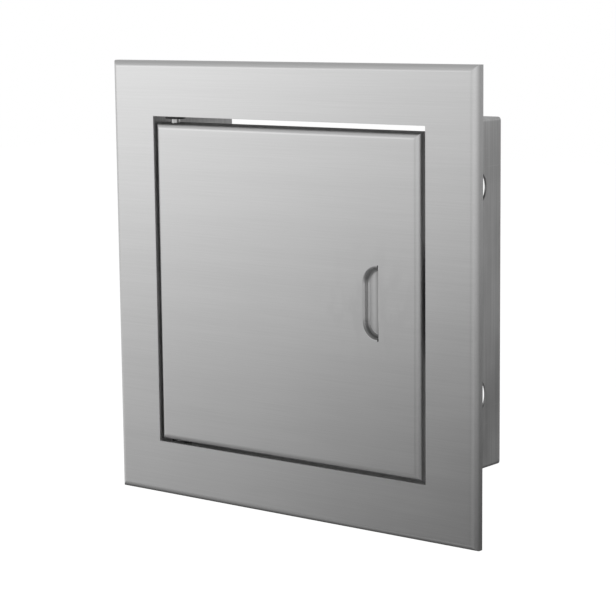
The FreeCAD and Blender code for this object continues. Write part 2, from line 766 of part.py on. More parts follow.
def upper_pivot_pin():
    """Round bar bent at its lower end for a finger, chamfered at the tip and grooved for its clip."""
    body = new_body("upper_pivot_pin")
    section = sketch_on(body, "XY_Plane", PIN_TOP_Z, PIVOT_X, PIVOT_Y)
    add_circle(section, "sizes.pin_diameter")
    rise = f"({PIN_TOP_Z} - {TAIL_Z})"
    top, bend, reach = number(rise), number("sizes.tail_bend"), number("sizes.tail_reach")
    spine = facing_sketch(body, PIVOT_Y, PIVOT_X, TAIL_Z)
    shaft = spine.addGeometry(Part.LineSegment(Vector(0, top), Vector(0, bend)))
    circle = Part.Circle(Vector(bend, bend), Vector(0, 0, 1), bend)
    elbow = spine.addGeometry(Part.ArcOfCircle(circle, math.pi, 1.5 * math.pi))
    tail = spine.addGeometry(Part.LineSegment(Vector(bend, 0), Vector(reach, 0)))
    join_loop(spine, [("Tangent", shaft, 2, elbow, 1), ("Tangent", elbow, 2, tail, 1)])
    spine.addConstraint(Sketcher.Constraint("PointOnObject", shaft, 1, -2))
    spine.addConstraint(Sketcher.Constraint("PointOnObject", shaft, 2, -2))
    spine.addConstraint(Sketcher.Constraint("PointOnObject", tail, 2, -1))
    hold(spine, "sizes.tail_bend", "Radius", elbow)
    hold(spine, rise, "DistanceY", -1, 1, shaft, 1)
    hold(spine, "sizes.tail_reach", "DistanceX", -1, 1, tail, 2)
    doc.recompute()
    bar = body.newObject("PartDesign::AdditivePipe", "bar")
    bar.Profile = section
    bar.Spine = (spine, ["Edge1", "Edge2", "Edge3"])
    doc.recompute()
    tips = [
        f"Edge{i}"
        for i, edge in enumerate(bar.Shape.Edges, start=1)
        if at_z(edge.BoundBox, PIN_TOP_Z) or at_x(edge.BoundBox, f"{PIVOT_X} + sizes.tail_reach")
    ]
    chamfer = body.newObject("PartDesign::Chamfer", "tips")
    chamfer.Base = (bar, tips)
    chamfer.setExpression("Size", "sizes.pin_chamfer")
    groove = sketch_on(body, "XY_Plane", f"{CLIP_TOP_Z} + sizes.running_clearance", PIVOT_X, PIVOT_Y)
    add_circle(groove, "(2 * sizes.pin_diameter)")
    add_circle(groove, "sizes.clip_groove_diameter")
    pocket(body, groove, "sizes.clip_thickness + 2 * sizes.running_clearance")
    return body


def pin_clip():
    """Open retaining clip in the groove of the upper pin. It stops against the guide's upper ear."""
    body = new_body("pin_clip")
    ring = sketch_on(body, "XY_Plane", CLIP_TOP_Z, PIVOT_X, PIVOT_Y)
    add_circle(ring, "sizes.clip_diameter")
    add_circle(ring, "(sizes.clip_groove_diameter + 2 * sizes.running_clearance)")
    pad(body, ring, "sizes.clip_thickness", reverse=True)
    mouth = sketch_on(body, "XY_Plane", CLIP_TOP_Z, PIVOT_X, f"{PIVOT_Y} + sizes.clip_diameter / 2")
    add_rectangle(mouth, "sizes.clip_mouth", "sizes.clip_diameter")
    pocket(body, mouth, "sizes.clip_thickness")
    return body


def spring_washer():
    """Flat washer between the clip and the spring."""
    body = new_body("spring_washer")
    ring = sketch_on(body, "XY_Plane", WASHER_TOP_Z, PIVOT_X, PIVOT_Y)
    add_circle(ring, "sizes.washer_diameter")
    add_circle(ring, f"2 * {PIN_HOLE_RADIUS}")
    pad(body, ring, "sizes.washer_thickness", reverse=True)
    return body


def arc_from(start, tangent, end):
    """Arc that leaves start along the tangent and reaches end."""
    chord = end - start
    bow = (Vector(tangent).normalize() + Vector(chord).normalize()).normalize()
    middle = start + bow * (chord.Length / 2 / math.cos(bow.getAngle(chord)))
    return Part.Arc(start, middle, end).toShape()


def biarc(start, start_tangent, end, end_tangent):
    """Two arcs that leave start and reach end along their tangents and meet smoothly."""
    chord = end - start
    along = chord.dot(start_tangent + end_tangent)
    spread = 2 * (1 - start_tangent.dot(end_tangent))
    reach = (math.sqrt(along**2 + spread * chord.dot(chord)) - along) / spread
    meeting = (start + start_tangent * reach + end - end_tangent * reach) * 0.5
    meeting_tangent = (meeting - start - start_tangent * reach).normalize()
    return [arc_from(start, start_tangent, meeting), arc_from(meeting, meeting_tangent, end)]


def pin_spring():
    """Compression spring round the upper pin, from the guide's lower ear to the washer."""
    wire = number("sizes.spring_wire")
    radius = number("sizes.spring_diameter / 2")
    half_turns = 2 * round(number("sizes.spring_turns"))
    play = number("sizes.seat_clearance")
    low = number(SPRING_LOW_Z) + wire / 2 + play
    high = number(SPRING_TOP_Z) - wire / 2 - play
    rise = (high - low) / (half_turns * math.pi)
    axis = Vector(number(PIVOT_X), number(PIVOT_Y), low)

    def point(angle):
        return axis + Vector(radius * math.cos(angle), radius * math.sin(angle), rise * angle)

    def tangent(angle):
        return Vector(-radius * math.sin(angle), radius * math.cos(angle), rise).normalize()

    arcs = []
    for step in range(half_turns):
        start, end = step * math.pi, (step + 1) * math.pi
        arcs += biarc(point(start), tangent(start), point(end), tangent(end))
    section = Part.Wire([Part.Circle(point(0), tangent(0), wire / 2).toShape()])
    spring = doc.addObject("Part::Feature", "pin_spring")
    spring.Label = "pin_spring"
    spring.Shape = Part.Wire(arcs).makePipeShell([section], True, False)
    spring.Placement = FreeCAD.Placement()

    # Each point is measured against the points from half a turn to a turn and a half further up.
    half = SAMPLES_PER_HALF_TURN
    samples = [point(i * math.pi / half) for i in range(half * half_turns + 1)]
    gap = min(
        (later - samples[i]).Length
        for i in range(len(samples))
        for later in samples[i + half : i + 3 * half + 1]
    )
    print(f"pin_spring: least gap between its turns {gap - wire:.2f} mm")
    return spring


def lower_pivot_pin():
    """Shouldered pin riveted into the lower lug. Its shoulder stands on the lower bush."""
    axis = (PIVOT_X, PIVOT_Y)
    tip_z = f"(-{PIN_TOP_Z})"
    shank_z = f"({tip_z} + sizes.pin_chamfer)"
    seat_z = "(sizes.lower_bush_flange - sizes.opening_height / 2 + sizes.seat_clearance)"
    tip = cone(f"{PIN_RADIUS} - sizes.pin_chamfer", PIN_RADIUS, "sizes.pin_chamfer", (*axis, tip_z))
    shank = cylinder(PIN_RADIUS, f"{LUG_EAR_TOP_Z} - {shank_z}", (*axis, shank_z))
    shoulder = cylinder("sizes.shoulder_diameter / 2", f"{LUG_LOW_Z} - {seat_z}", (*axis, seat_z))
    rivet = (*axis, LUG_EAR_TOP_Z)
    head = cone("sizes.pin_rivet_diameter / 2", PIN_RADIUS, "sizes.pin_rivet_height", rivet)
    return fuse("lower_pivot_pin", [tip, shank, shoulder, head])


def catch_housing():
    """Moulded case of the magnetic catch, with an ear above and below for its screws."""
    body = new_body("catch_housing")
    overall = "(sizes.catch_width + 2 * sizes.catch_ear)"
    inner_x = f"({WALL_X} - sizes.catch_reach)"
    ears = sketch_on(body, "YZ_Plane", WALL_X, CATCH_MID_Y)
    add_rectangle(ears, "sizes.catch_depth", overall)
    pad(body, ears, "sizes.catch_ear_thickness", reverse=True)
    round_edges(body, "sizes.catch_ear_corner", along_x)
    case = sketch_on(body, "YZ_Plane", WALL_X, CATCH_MID_Y)
    add_rectangle(case, "sizes.catch_depth", "sizes.catch_width")
    pad(body, case, "sizes.catch_reach", reverse=True)
    round_edges(body, "sizes.catch_edge", lambda box: at_x(box, inner_x))
    cavity = facing_sketch(body, CATCH_FRONT_Y, STACK_X)
    stack = "(sizes.magnet_thickness + 2 * sizes.pole_thickness + 2 * sizes.catch_clearance)"
    add_rectangle(cavity, stack, "(sizes.pole_length + 2 * sizes.catch_clearance)")
    pocket(body, cavity, "sizes.catch_cavity_depth")
    screw_holes = sketch_on(body, "YZ_Plane", WALL_X, CATCH_MID_Y)
    add_circle_pair(
        screw_holes, "(sizes.screw_diameter + 2 * sizes.catch_clearance)", "sizes.screw_spacing", "vertical"
    )
    pocket(body, screw_holes, "2 * sizes.catch_ear_thickness")
    return body


def catch_magnet():
    """Ferrite block between the pole plates."""
    depth = "(sizes.catch_cavity_depth - sizes.magnet_recess)"
    middle_y = f"({CATCH_FRONT_Y} + sizes.magnet_recess + {depth} / 2)"
    magnet = block("sizes.magnet_thickness", depth, "sizes.pole_length", (STACK_X, middle_y, "0"))
    magnet.Label = "catch_magnet"
    return magnet


def catch_pole_plates():
    """Steel plates each side of the magnet, which reach forward to the strike plate."""
    front_y = f"({STRIKE_BACK_Y} + sizes.seat_clearance)"
    back_y = f"({CATCH_FRONT_Y} + sizes.catch_cavity_depth)"
    offset = "(sizes.magnet_thickness / 2 + sizes.pole_thickness / 2)"
    plates = []
    for side in ("-", "+"):
        middle = (f"({STACK_X} {side} {offset})", f"(({front_y} + {back_y}) / 2)", "0")
        plates.append(block("sizes.pole_thickness", f"({back_y} - {front_y})", "sizes.pole_length", middle))
    return group("catch_pole_plates", plates)


def catch_screws():
    """Pan-head screws through the ears into the wall of the box."""
    seat_x = f"({WALL_X} - sizes.catch_ear_thickness)"
    length = "(sizes.catch_ear_thickness + sizes.box_sheet + sizes.screw_overrun)"
    shank = "(sizes.screw_diameter / 2)"
    screws = []
    for z in pair("0", "sizes.screw_spacing"):
        seat = (seat_x, CATCH_MID_Y, z)
        rim, top = "sizes.screw_head_diameter / 2", "sizes.screw_head_top / 2"
        head = cone(rim, top, "sizes.screw_head_height", seat, "left")
        screws.append(fuse("catch_screw", [head, cylinder(shank, length, seat, "right")]))
    return group("catch_screws", screws)


def strike_plate():
    """Steel strip folded as a bridge on the back of the door, where the catch pulls."""
    body = new_body("strike_plate")
    foot_back_y = f"({DOOR_BACK_Y} + sizes.strike_thickness)"
    bridge_front_y = f"({STRIKE_BACK_Y} - sizes.strike_thickness)"
    span = "(sizes.strike_bridge - 2 * sizes.strike_thickness)"
    outer_bend = "(sizes.strike_inner_bend + sizes.strike_thickness)"
    strip = facing_sketch(body, DOOR_BACK_Y, STACK_X)
    add_rectangle(strip, "sizes.strike_width", "sizes.strike_length")
    pad(body, strip, "sizes.strike_thickness", reverse=True)
    round_edges(body, "sizes.strike_corner", along_y)
    bridge = facing_sketch(body, DOOR_BACK_Y, STACK_X)
    add_rectangle(bridge, "sizes.strike_width", "sizes.strike_bridge")
    pad(body, bridge, f"{STRIKE_BACK_Y} - {DOOR_BACK_Y}", reverse=True)
    hole = facing_sketch(body, DOOR_BACK_Y, STACK_X)
    add_rectangle(hole, "(2 * sizes.strike_width)", span)
    pocket(body, hole, f"{bridge_front_y} - {DOOR_BACK_Y}")

    # The strip turns up from each foot, and over at the bridge.
    def across(box, depth, length):
        beside = abs(abs(box.ZMin) - number(length) / 2) < SAME_PLACE
        return along_x(box) and at_y(box, depth) and beside

    for depth, length, radius in (
        (foot_back_y, "sizes.strike_bridge", "sizes.strike_inner_bend"),
        (DOOR_BACK_Y, span, outer_bend),
        (bridge_front_y, span, "sizes.strike_inner_bend"),
        (STRIKE_BACK_Y, "sizes.strike_bridge", outer_bend),
    ):
        round_edges(body, radius, lambda box: across(box, depth, length))
    stud_holes = facing_sketch(body, DOOR_BACK_Y, STACK_X)
    add_circle_pair(stud_holes, STUD_HOLE, "sizes.strike_stud_spacing", "vertical")
    pocket(body, stud_holes, "2 * sizes.strike_thickness")
    return body


nodes = [
    face_frame(),
    wall_box(),
    seam_rivets(),
    pivot_bush("upper_pivot_bush", "(sizes.opening_height / 2)", "up", "sizes.upper_bush_flange"),
    pivot_bush("lower_pivot_bush", "(-sizes.opening_height / 2)", "down", "sizes.lower_bush_flange"),
    catch_housing(),
    catch_magnet(),
    catch_pole_plates(),
    catch_screws(),
    door_leaf(),
    pin_guide(),
    lower_hinge_lug(),
    lower_pivot_pin(),
    *hinge_fasteners(),
    strike_plate(),
    *strike_fasteners(),
    upper_pivot_pin(),
    pin_clip(),
    spring_washer(),
    pin_spring(),
]
doc.recompute()

for item in doc.Objects:
    if {"Invalid", "Error"} & set(item.State):
        raise RuntimeError(f"{item.Label} failed: {item.getStatusString()}")
for node in nodes:
    if node.Shape.isNull() or not node.Shape.isValid():
        raise RuntimeError(f"{node.Label} has no valid shape")

os.makedirs("parts", exist_ok=True)
for node in nodes:
    node.Shape.exportStep(f"parts/{node.Label}.step")
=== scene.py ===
import math

import bpy
from mathutils import Matrix, Vector


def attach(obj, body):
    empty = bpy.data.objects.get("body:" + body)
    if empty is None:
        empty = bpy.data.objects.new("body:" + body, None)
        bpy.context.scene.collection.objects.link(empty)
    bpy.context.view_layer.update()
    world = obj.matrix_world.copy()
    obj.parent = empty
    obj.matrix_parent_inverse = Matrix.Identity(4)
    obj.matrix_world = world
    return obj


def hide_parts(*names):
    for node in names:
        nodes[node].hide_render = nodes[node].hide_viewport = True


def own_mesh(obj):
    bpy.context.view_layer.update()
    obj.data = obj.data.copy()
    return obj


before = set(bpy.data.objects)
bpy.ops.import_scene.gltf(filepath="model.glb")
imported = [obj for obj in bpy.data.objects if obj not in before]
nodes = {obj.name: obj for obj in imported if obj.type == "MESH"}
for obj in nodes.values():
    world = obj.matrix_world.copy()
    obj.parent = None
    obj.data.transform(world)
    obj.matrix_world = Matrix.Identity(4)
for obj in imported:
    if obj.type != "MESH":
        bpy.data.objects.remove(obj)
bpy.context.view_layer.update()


# Face frame: one sheet of brushed stainless steel, pressed as a shallow tray with its opening cut
# out. The brushing runs from side to side, and the folded rim lies against the wall.
class Wire:
    """A socket of a finish. Arithmetic on it adds Math nodes, and node() adds any other node."""

    def __init__(self, tree, socket=None):
        self.tree = tree
        self.socket = socket

    def node(self, kind, settings, sockets, output=0):
        made = self.tree.nodes.new("ShaderNode" + kind)
        for name, value in settings.items():
            setattr(made, name, value)
        for name, value in sockets.items():
            self.feed(made.inputs[name], value)
        return Wire(self.tree, made.outputs[output] if made.outputs else None)

    def feed(self, socket, value):
        if isinstance(value, Wire):
            self.tree.links.new(value.socket, socket)
        else:
            socket.default_value = value

    def math(self, operation, first, second=0.0):
        return self.node("Math", {"operation": operation}, {0: first, 1: second})

    def __add__(self, other):
        return self.math("ADD", self, other)

    def __radd__(self, other):
        return self.math("ADD", other, self)

    def __sub__(self, other):
        return self.math("SUBTRACT", self, other)

    def __rsub__(self, other):
        return self.math("SUBTRACT", other, self)

    def __mul__(self, other):
        return self.math("MULTIPLY", self, other)

    def __rmul__(self, other):
        return self.math("MULTIPLY", other, self)

    def __abs__(self):
        return self.math("ABSOLUTE", self)

    def lesser(self, other):
        return self.math("MINIMUM", self, other)

    def greater(self, other):
        return self.math("MAXIMUM", self, other)

    def length(self, other):
        """Distance from two differences at right angles."""
        return self.math("SQRT", self * self + other * other)

    def axes(self):
        """X, Y and Z of these coordinates."""
        split = self.node("SeparateXYZ", {}, {"Vector": self}).socket.node
        return [Wire(self.tree, socket) for socket in split.outputs]

    def stretched_noise(self, scale, detail=2.0, offset=(0, 0, 0)):
        """Noise on these coordinates, in patches of one over scale metres along each axis."""
        place = self.node("Mapping", {}, {"Vector": self, "Scale": scale, "Location": offset})
        return self.node("TexNoise", {}, {"Vector": place, "Scale": 1.0, "Detail": detail})

    def ramp(self, low, high):
        """Zero below low, one above high."""
        settings = {"interpolation_type": "SMOOTHSTEP"}
        return self.node("MapRange", settings, {"Value": self, "From Min": low, "From Max": high})

    def between(self, first, second):
        """Colour that goes from the first to the second with this value."""
        sockets = {0: self, 6: first, 7: second}
        return self.node("Mix", {"data_type": "RGBA"}, sockets, output=2)

    def bump(self, distance, strength=1.0):
        return self.node("Bump", {}, {"Height": self, "Distance": distance, "Strength": strength})


def finish(name, constants):
    """New material: its Principled shader with constant values, and a wire on Object coordinates."""
    material = bpy.data.materials.new(name)
    material.use_nodes = True
    tree = material.node_tree
    shader = tree.nodes["Principled BSDF"]
    for socket, value in constants.items():
        shader.inputs[socket].default_value = value
    return material, shader.inputs, Wire(tree).node("TexCoord", {}, {}, output="Object")


def dress(material, *names):
    """Give solids of the frame their finish."""
    for name in names:
        nodes[name].data.materials.clear()
        nodes[name].data.materials.append(material)


def grey(level):
    return (level, level, level, 1)


def brushed_sheet(name, seed, wear_and_shade):
    """Satin brushed stainless: hair-fine strokes along X and wider bands, with wear_and_shade(place)
    over them.

    wear_and_shade gives a mask, the grey that it goes to and the roughness that it adds, for each kind
    of wear or painted shade.
    """
    material, shader, place = finish(name, {"Metallic": 1.0})
    strokes = place.stretched_noise((28, 900, 2400), 3.0, seed)
    bands = place.stretched_noise((3, 90, 130), 2.0, seed)
    marks = place.stretched_noise((22, 22, 22), 3.0, seed)
    tone = 0.5 * strokes + 0.3 * bands + 0.2 * marks
    colour = tone.ramp(0.25, 0.75).between(grey(0.70), grey(0.76))
    rough = 0.26 + 0.08 * strokes + 0.05 * marks
    for mask, level, dulling in wear_and_shade(place):
        colour = mask.between(colour, grey(level))
        rough = rough + dulling * mask
    place.feed(shader["Base Color"], colour)
    place.feed(shader["Roughness"], rough)
    place.feed(shader["Normal"], strokes.bump(0.000006, 0.5))
    return material


OPENING_HALF = 0.075


def frame_wear(place):
    """The edge cut round the opening is bare, dull metal."""
    x, _, z = place.axes()
    from_cut = abs(x).greater(abs(z)) - OPENING_HALF
    return [(1 - from_cut.ramp(0.00002, 0.0003), 0.68, 0.14)]


dress(brushed_sheet("brushed frame sheet", (0.0, 0.0, 0.0), frame_wear), "face_frame")


# Wall box: a strip of stainless sheet, folded square and open at the back, left as it came from the
# mill. Its flanges are spot-welded behind the frame, and each weld leaves a tinted dent.
WELD_LINE = 0.083
WELD_PITCH = 0.040


def weld_distance(along, across):
    """Distance to the nearest of a row of welds on the two flanges across an axis."""
    step = along.math("PINGPONG", along - WELD_PITCH / 2, WELD_PITCH / 2)
    return step.length(abs(abs(across) - WELD_LINE))


def mill_sheet(name):
    """Grey sheet with rolling lines along the strip, clouds, handling scratches and tinted welds."""
    material, shader, place = finish(name, {"Metallic": 1.0})
    x, _, z = place.axes()
    beside = (abs(x) - abs(z)).ramp(-0.0005, 0.0005)
    upright_lines = place.stretched_noise((900, 900, 18), 3.0)
    level_lines = place.stretched_noise((18, 900, 900), 3.0)
    rolled = beside * upright_lines + (1 - beside) * level_lines
    clouds = place.stretched_noise((30, 30, 30), 4.0).ramp(0.3, 0.7)
    side_marks = place.stretched_noise((90, 70, 1900))
    level_marks = place.stretched_noise((1900, 70, 90))
    across = beside * side_marks + (1 - beside) * level_marks
    scratch = 0.45 * across.ramp(0.68, 0.74)
    weld = weld_distance(x, z).lesser(weld_distance(z, x))
    dent = 1 - weld.ramp(0.0015, 0.0023)
    straw = 1 - weld.ramp(0.0022, 0.0052)
    blue = straw * (1 - weld.ramp(0.0020, 0.0030))
    tone = 0.55 * clouds + 0.45 * rolled.ramp(0.3, 0.7)
    sheet = scratch.between(tone.between(grey(0.52), grey(0.70)), grey(0.78))
    tinted = (0.75 * straw).between(sheet, (0.50, 0.40, 0.26, 1))
    place.feed(shader["Base Color"], (0.6 * blue).between(tinted, (0.30, 0.33, 0.42, 1)))
    place.feed(shader["Roughness"], 0.36 + 0.10 * clouds + 0.06 * rolled + 0.10 * dent)
    relief = 0.04 * rolled - dent
    place.feed(shader["Normal"], relief.bump(0.00015, 0.8))
    return material


dress(mill_sheet("mill-finish box sheet"), "wall_box")


# Seam rivets: two aluminium blind rivets close the lap of the box. Each has a domed head with the
# mandrel broken off inside it, and a bulb behind the sheet.
MM = 0.001  # drawn pieces are given in mm, finishes and the studio in metres
MERGE_WITHIN = 0.0005
SMOOTH_BELOW = math.radians(35)
RIVET_X = -68.0
RIVET_Y = (19.0, 37.0)
RIVET_OUTLINE = (
    (0.0, -77.60), (0.70, -77.66), (0.86, -77.60), (1.00, -77.98), (1.16, -78.10), (1.55, -78.08),
    (2.10, -77.92), (2.55, -77.66), (2.85, -77.34), (3.00, -77.05), (2.96, -77.00), (1.60, -77.00),
    (1.60, -75.00), (2.05, -75.00), (2.24, -74.86), (2.25, -74.55), (2.05, -74.15), (1.60, -73.90),
    (1.15, -73.82), (1.05, -73.66), (0.70, -73.60), (0.0, -73.60),
)


def drawn_line(name, points):
    """New object with one open line through points in mm, selected in edit mode."""
    corners = [Vector(point) * MM for point in points]
    bpy.ops.object.select_all(action="DESELECT")
    bpy.ops.mesh.primitive_plane_add(size=MM)
    piece = bpy.context.object
    piece.name = name
    bpy.ops.object.mode_set(mode="EDIT")
    bpy.ops.mesh.select_mode(type="VERT")
    bpy.ops.mesh.select_all(action="SELECT")
    bpy.ops.mesh.merge(type="CENTER")
    bpy.ops.transform.translate(value=corners[0])
    for start, end in zip(corners, corners[1:]):
        bpy.ops.mesh.extrude_vertices_move(TRANSFORM_OT_translate={"value": end - start})
    bpy.ops.mesh.select_all(action="SELECT")
    return piece


def close_up():
    """Merge the seams of the mesh in edit mode, cap its ends and turn its faces outwards."""
    bpy.ops.mesh.select_all(action="SELECT")
    bpy.ops.mesh.remove_doubles(threshold=MERGE_WITHIN * MM)
    bpy.ops.mesh.dissolve_degenerate(threshold=MERGE_WITHIN * MM)
    bpy.ops.mesh.fill_holes(sides=0)
    bpy.ops.mesh.select_all(action="SELECT")
    bpy.ops.mesh.normals_make_consistent(inside=False)
    bpy.ops.object.mode_set(mode="OBJECT")


def turned_piece(name, outline, steps=40):
    """Lathe an outline of radii and heights in mm, which starts and ends on the axis, about Z."""
    piece = drawn_line(name, [(radius, 0, height) for radius, height in outline])
    bpy.ops.mesh.spin(steps=steps, angle=math.tau, center=(0, 0, 0), axis=(0, 0, 1))
    close_up()
    return piece


def join_up(piece, others):
    """Make other meshes part of a piece, and put its place into its mesh."""
    bpy.ops.object.select_all(action="DESELECT")
    for part in (piece, *others):
        part.select_set(True)
    bpy.context.view_layer.objects.active = piece
    if others:
        bpy.ops.object.join()
    bpy.ops.object.transform_apply(location=True, rotation=True, scale=True)
    bpy.ops.object.shade_smooth_by_angle(angle=SMOOTH_BELOW)
    return piece


def set_out(piece, places, turn, rolls=None):
    """Stand copies of a piece at places in mm, each turned about its own axis, as one object."""
    copies = [piece]
    for _ in places[1:]:
        copy = piece.copy()
        copy.data = piece.data.copy()
        bpy.context.scene.collection.objects.link(copy)
        copies.append(copy)
    for copy, place, roll in zip(copies, places, rolls or [0] * len(places)):
        own_turn = Matrix.Rotation(math.radians(roll), 4, "Z")
        copy.matrix_world = Matrix.Translation(Vector(place) * MM) @ turn @ own_turn
    return join_up(piece, copies[1:])


def hand_in(piece, material, node, body):
    """Finish a piece that stands for a solid of the frame."""
    piece.data.materials.clear()
    piece.data.materials.append(material)
    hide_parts(node)
    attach(piece, body)


def rivet_aluminium(name):
    """Soft bright aluminium with faint clouds and fine scratches."""
    material, shader, place = finish(name, {"Metallic": 1.0})
    cloud = place.stretched_noise((500, 500, 500), 3.0)
    scratch = place.stretched_noise((2600, 300, 900), 2.0)
    place.feed(shader["Base Color"], cloud.between(grey(0.66), grey(0.80)))
    place.feed(shader["Roughness"], 0.30 + 0.16 * cloud)
    place.feed(shader["Normal"], scratch.bump(0.000006, 0.5))
    return material


UPRIGHT = Matrix.Identity(4)
rivets = set_out(
    turned_piece("blind_rivets", RIVET_OUTLINE),
    [(RIVET_X, y, 0) for y in RIVET_Y],
    UPRIGHT,
)
hand_in(rivets, rivet_aluminium("rivet aluminium"), "seam_rivets", "frame")


# Pivot bushes: black acetal, each with a thin flange inside the box and a barbed neck that snaps
# through its wall. The pins of the door turn in them.
def moulded_plastic(name, roughness, low, high):
    """Black plastic with a fine spark-eroded texture and a little bloom."""
    material, shader, place = finish(name, {"Metallic": 0.0})
    texture = place.stretched_noise((3200, 3200, 3200), 2.0)
    bloom = place.stretched_noise((180, 180, 180), 3.0)
    place.feed(shader["Base Color"], bloom.between(grey(low), grey(high)))
    place.feed(shader["Roughness"], roughness + 0.15 * bloom)
    place.feed(shader["Normal"], texture.bump(0.00002, 0.4))
    return material


dress(moulded_plastic("black acetal", 0.36, 0.018, 0.036), "upper_pivot_bush", "lower_pivot_bush")


# Magnetic catch: a black moulded case on the wall of the box holds a ferrite bar between two plated
# steel plates, whose edges stand out a little and draw the door's strike plate.
def zinc_plate(name):
    """Bright zinc on pressed steel, with the faint straw and blue of its passivation."""
    material, shader, place = finish(name, {"Metallic": 1.0})
    cloud = place.stretched_noise((140, 140, 140), 3.0)
    grit = place.stretched_noise((2600, 2600, 2600), 2.0)
    place.feed(shader["Base Color"], cloud.between((0.58, 0.61, 0.66, 1), (0.72, 0.70, 0.64, 1)))
    place.feed(shader["Roughness"], 0.24 + 0.14 * cloud)
    place.feed(shader["Normal"], grit.bump(0.000006, 0.4))
    return material


def sintered_ferrite(name):
    """Dark grey ceramic with open pores and a few pale chips."""
    material, shader, place = finish(name, {"Metallic": 0.0})
    pores = place.stretched_noise((2400, 2400, 2400), 3.0)
    chips = place.stretched_noise((700, 700, 700), 2.0).ramp(0.66, 0.72)
    body = pores.between(grey(0.035), grey(0.075))
    place.feed(shader["Base Color"], chips.between(body, grey(0.16)))
    place.feed(shader["Roughness"], 0.58 + 0.25 * pores)
    place.feed(shader["Normal"], pores.bump(0.00004, 0.6))
    return material


zinc = zinc_plate("bright zinc plate")
dress(moulded_plastic("black catch plastic", 0.46, 0.02, 0.045), "catch_housing")
dress(sintered_ferrite("sintered ferrite"), "catch_magnet")
dress(zinc, "catch_pole_plates")


# Catch screws: two plated self-tapping screws with pan heads and cross recesses hold the ears of the
# catch to the wall of the box, through the sheet.
SCREW_SEAT_X = 73.0
SCREW_Y = 13.8
SCREW_Z = (19.5, -19.5)
SCREW_TOP = 2.0
SCREW_OUTLINE = (
    (0.0, SCREW_TOP), (1.30, 1.98), (1.95, 1.84), (2.40, 1.56), (2.68, 1.12), (2.79, 0.60),
    (2.80, 0.14), (2.70, 0.0), (1.25, 0.0), (1.15, -0.60), (1.15, -5.90), (0.45, -6.85), (0.0, -7.0),
)
DRIVER_BAR = (3.2, 0.68, 2.5)
DRIVER_TAPER = (0.42, 0.7, 1)
CREST_LOW, CREST_HIGH = 0.40, 0.56
THREAD_STEPS = 28


def cut(piece, tool, operation):
    """Boolean of a piece with a tool, which is used up."""
    modifier = piece.modifiers.new("cut", "BOOLEAN")
    modifier.object = tool
    modifier.operation = operation
    modifier.solver = "EXACT"
    modifier.use_self = True
    bpy.ops.object.select_all(action="DESELECT")
    piece.select_set(True)
    bpy.context.view_layer.objects.active = piece
    bpy.ops.object.modifier_apply(modifier=modifier.name)
    bpy.data.objects.remove(tool)
    bpy.ops.object.mode_set(mode="EDIT")
    close_up()


def wind(piece, pitch, turns, steps):
    """Screw an outline about Z with a pitch in mm, and close its ends."""
    helix = piece.modifiers.new("helix", "SCREW")
    helix.angle = math.tau
    helix.screw_offset = pitch * MM
    helix.iterations = turns
    helix.steps = steps
    helix.render_steps = steps
    bpy.ops.object.modifier_apply(modifier=helix.name)
    bpy.ops.object.mode_set(mode="EDIT")
    close_up()


def thread(name, root, crest, pitch, turns, low):
    """Helical thread about Z, in mm from its lower end, closed over the core that carries it."""
    section = ((root, 0.0), (crest, CREST_LOW), (crest, CREST_HIGH), (root, 1.0))
    piece = drawn_line(name, [(radius, 0, low + part * pitch) for radius, part in section])
    bpy.ops.object.mode_set(mode="OBJECT")
    wind(piece, pitch, turns, THREAD_STEPS)
    return piece


def cross_tool(name, top):
    """Crossed tapered bars of a driver, in mm, to sink a recess from a height."""
    bpy.ops.object.select_all(action="DESELECT")
    bpy.ops.mesh.primitive_cube_add(size=MM, location=(0, 0, top * MM))
    tool = bpy.context.object
    tool.name = name
    bpy.ops.object.transform_apply(location=True)
    middle = (0, 0, top * MM)
    bpy.ops.object.mode_set(mode="EDIT")
    bpy.ops.mesh.select_all(action="SELECT")
    bpy.ops.transform.resize(value=DRIVER_BAR, center_override=middle)
    bpy.ops.mesh.select_mode(type="FACE")
    bpy.ops.mesh.select_all(action="DESELECT")
    bpy.ops.object.mode_set(mode="OBJECT")
    for face in tool.data.polygons:
        face.select = face.normal.z < -0.9
    bpy.ops.object.mode_set(mode="EDIT")
    bpy.ops.transform.resize(value=DRIVER_TAPER, center_override=middle)
    bpy.ops.mesh.select_all(action="SELECT")
    bpy.ops.mesh.duplicate()
    bpy.ops.transform.rotate(value=math.pi / 2, orient_axis="Z", center_override=middle)
    bpy.ops.object.mode_set(mode="OBJECT")
    return tool


HEAD_TO_LEFT = Matrix.Rotation(-math.pi / 2, 4, "Y")
screw = turned_piece("catch_screw_pair", SCREW_OUTLINE)
cut(screw, cross_tool("driver", SCREW_TOP), "DIFFERENCE")
join_up(screw, [thread("tapping thread", root=1.1, crest=1.5, pitch=0.8, turns=6, low=-5.7)])
screws = set_out(
    screw,
    [(SCREW_SEAT_X, SCREW_Y, z) for z in SCREW_Z],
    HEAD_TO_LEFT,
    rolls=(18, 63),
)
hand_in(screws, zinc, "catch_screws", "frame")


# Door leaf: the same brushed sheet, folded back on four sides, with the finger pull lanced and pressed
# into it. Fingers leave faint smudges round the pull. The lower end of its wall and the floor under
# its lip are painted darker, as painted shade where shadow falls in the recess.
DOOR_MIDDLE = -0.001
DOOR_HALF = 0.073
FACE_Y = -0.005
PULL_FLOOR_Y = -0.0024
PULL_X = 0.0473
PULL_EDGE = 0.0505
PULL_REACH = 0.0172


